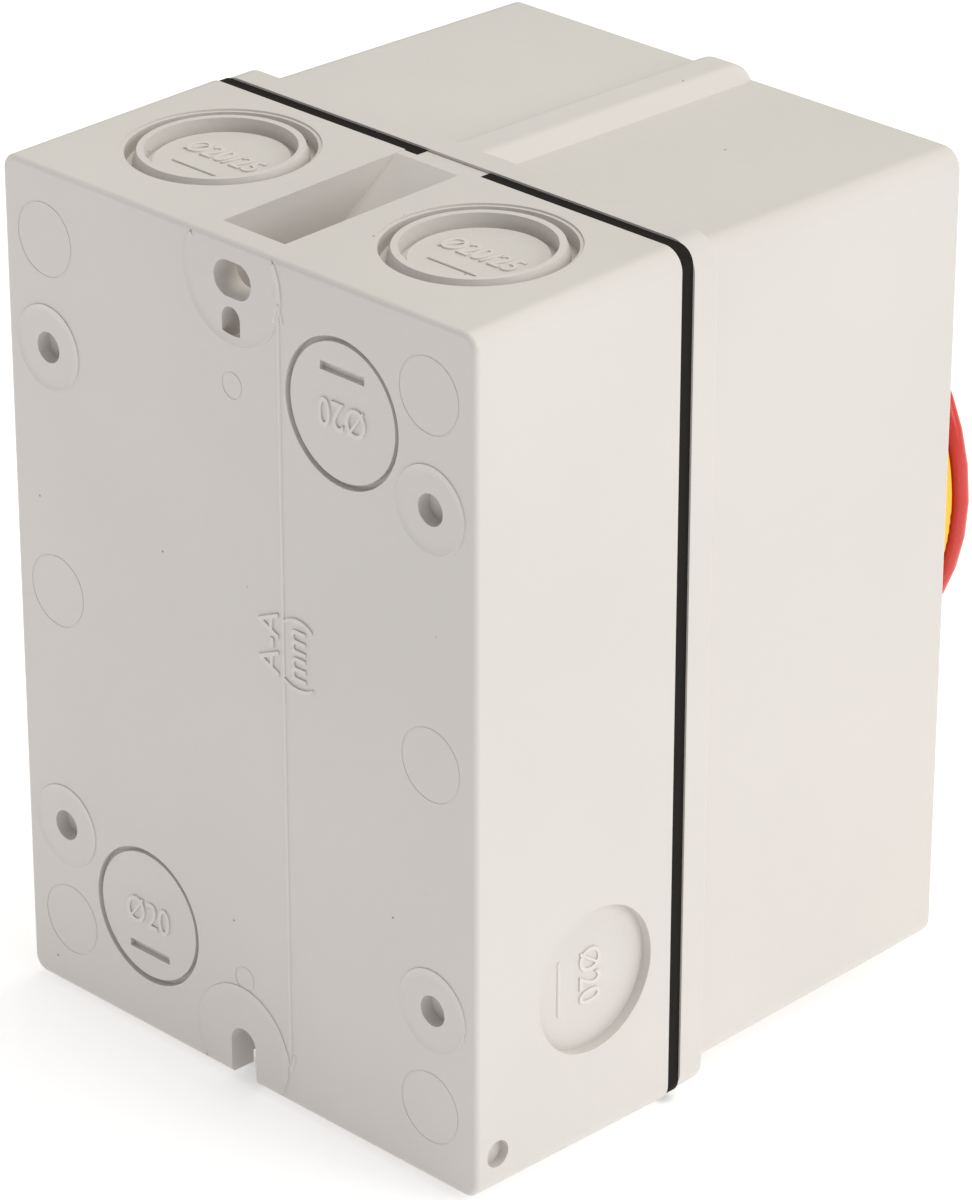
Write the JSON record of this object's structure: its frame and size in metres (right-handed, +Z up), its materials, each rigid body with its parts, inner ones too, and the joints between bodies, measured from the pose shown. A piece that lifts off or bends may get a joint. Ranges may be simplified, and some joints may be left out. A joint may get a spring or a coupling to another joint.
{
  "type": "enclosed rotary isolator switch",
  "caption": "Wall-mounted plastic switch enclosure with a rear base, gasketed lid, knockouts, and a round red and yellow rotary isolator handle.",
  "frame": {"origin": "centre of the rear mounting face", "axes": "+X right seen from the front, +Z up, the front and the handle face -Y, +Y points into the wall"},
  "size_m": [0.0864, 0.121, 0.1218],
  "materials": {
    "case_grey": "fine satin texture",
    "seal_black": "matte",
    "knob_red": "satin gloss",
    "collar_yellow": "satin gloss",
    "switch_black": "matte",
    "switch_grey": "matte",
    "rotor_white": "satin",
    "zinc_steel": "zinc plated",
    "spring_steel": "drawn wire",
    "brass": "turned",
    "copper": "copper strip with silver buttons",
    "white_plastic": "satin"
  },
  "bodies": {
    "base": {"enclosure_base": "case_grey", "lid_screw_inserts": "brass", "earth_terminal_bar": "brass", "earth_clamp_plates": "zinc_steel", "earth_terminal_screws": "zinc_steel", "switch_base_plate": "switch_black", "switch_fixing_screws": "zinc_steel", "contact_chamber_rear": "switch_grey", "contact_chamber_front": "switch_grey", "latch_housing": "switch_black", "latch_cover": "switch_black", "tie_screws": "zinc_steel", "fixed_contacts_rear": "copper", "fixed_contacts_front": "copper", "terminal_screws": "zinc_steel", "terminal_clamps": "zinc_steel", "latch_rollers": "zinc_steel", "latch_springs": "spring_steel", "contact_springs": "spring_steel"},
    "rotor": {"drive_shaft": "zinc_steel", "cam_rear": "rotor_white", "cam_front": "rotor_white", "star_wheel": "rotor_white", "shaft_clip": "spring_steel"},
    "lid": {"enclosure_lid": "case_grey", "lid_gasket": "seal_black", "lid_screws": "zinc_steel", "lid_screw_seals": "seal_black", "handle_collar": "collar_yellow", "collar_seal": "seal_black", "collar_screws": "zinc_steel", "stem_bush": "switch_black"},
    "handle": {"handle_knob": "knob_red", "handle_driver": "switch_black", "handle_screw": "zinc_steel", "screw_cap": "knob_red", "pointer_inlay": "white_plastic", "stem_seal": "seal_black", "stem_clip": "spring_steel", "lock_spring": "spring_steel"},
    "lock": {"lock_slider": "collar_yellow"},
    "bridge_rear_left": {"plunger_rear_left": "rotor_white", "contact_bridge_rear_left": "copper"},
    "bridge_rear_right": {"plunger_rear_right": "rotor_white", "contact_bridge_rear_right": "copper"},
    "bridge_front_left": {"plunger_front_left": "rotor_white", "contact_bridge_front_left": "copper"},
    "bridge_front_right": {"plunger_front_right": "rotor_white", "contact_bridge_front_right": "copper"}
  },
  "joints": [
    {"name": "lid_lift", "type": "slide", "parent": "base", "child": "lid", "axis": [0, -1, 0], "range_m": [0, 0.06]},
    {"name": "handle_turn", "type": "hinge", "parent": "lid", "child": "handle", "pos_m": [0, -0.1, 0], "axis": [0, 1, 0], "range_deg": [0, 90]},
    {"name": "lock_pull", "type": "slide", "parent": "handle", "child": "lock", "axis": [0, 0, -1], "range_m": [0, 0.011], "stiffness_N_per_m": 60, "springref_m": -0.002, "deforming": ["lock_spring"]},
    {"name": "shaft_turn", "type": "hinge", "parent": "base", "child": "rotor", "pos_m": [0, -0.03, 0], "axis": [0, 1, 0], "range_deg": [0, 90]},
    {"name": "bridge_rear_left_slide", "type": "slide", "parent": "base", "child": "bridge_rear_left", "axis": [1, 0, 0], "range_m": [0, 0.00301], "deforming": ["contact_springs"]},
    {"name": "bridge_rear_right_slide", "type": "slide", "parent": "base", "child": "bridge_rear_right", "axis": [-1, 0, 0], "range_m": [0, 0.00301]},
    {"name": "bridge_front_left_slide", "type": "slide", "parent": "base", "child": "bridge_front_left", "axis": [1, 0, 0], "range_m": [0, 0.00301]},
    {"name": "bridge_front_right_slide", "type": "slide", "parent": "base", "child": "bridge_front_right", "axis": [-1, 0, 0], "range_m": [0, 0.00301]}
  ],
  "couplings": [
    {"joint": "shaft_turn", "follows": "handle_turn", "ratio": 1},
    {"joint": "bridge_rear_left_slide", "follows": "handle_turn", "m_per_rad": 0.0019099},
    {"joint": "bridge_rear_right_slide", "follows": "handle_turn", "m_per_rad": 0.0019099},
    {"joint": "bridge_front_left_slide", "follows": "handle_turn", "m_per_rad": 0.0019099},
    {"joint": "bridge_front_right_slide", "follows": "handle_turn", "m_per_rad": 0.0019099}
  ]
}
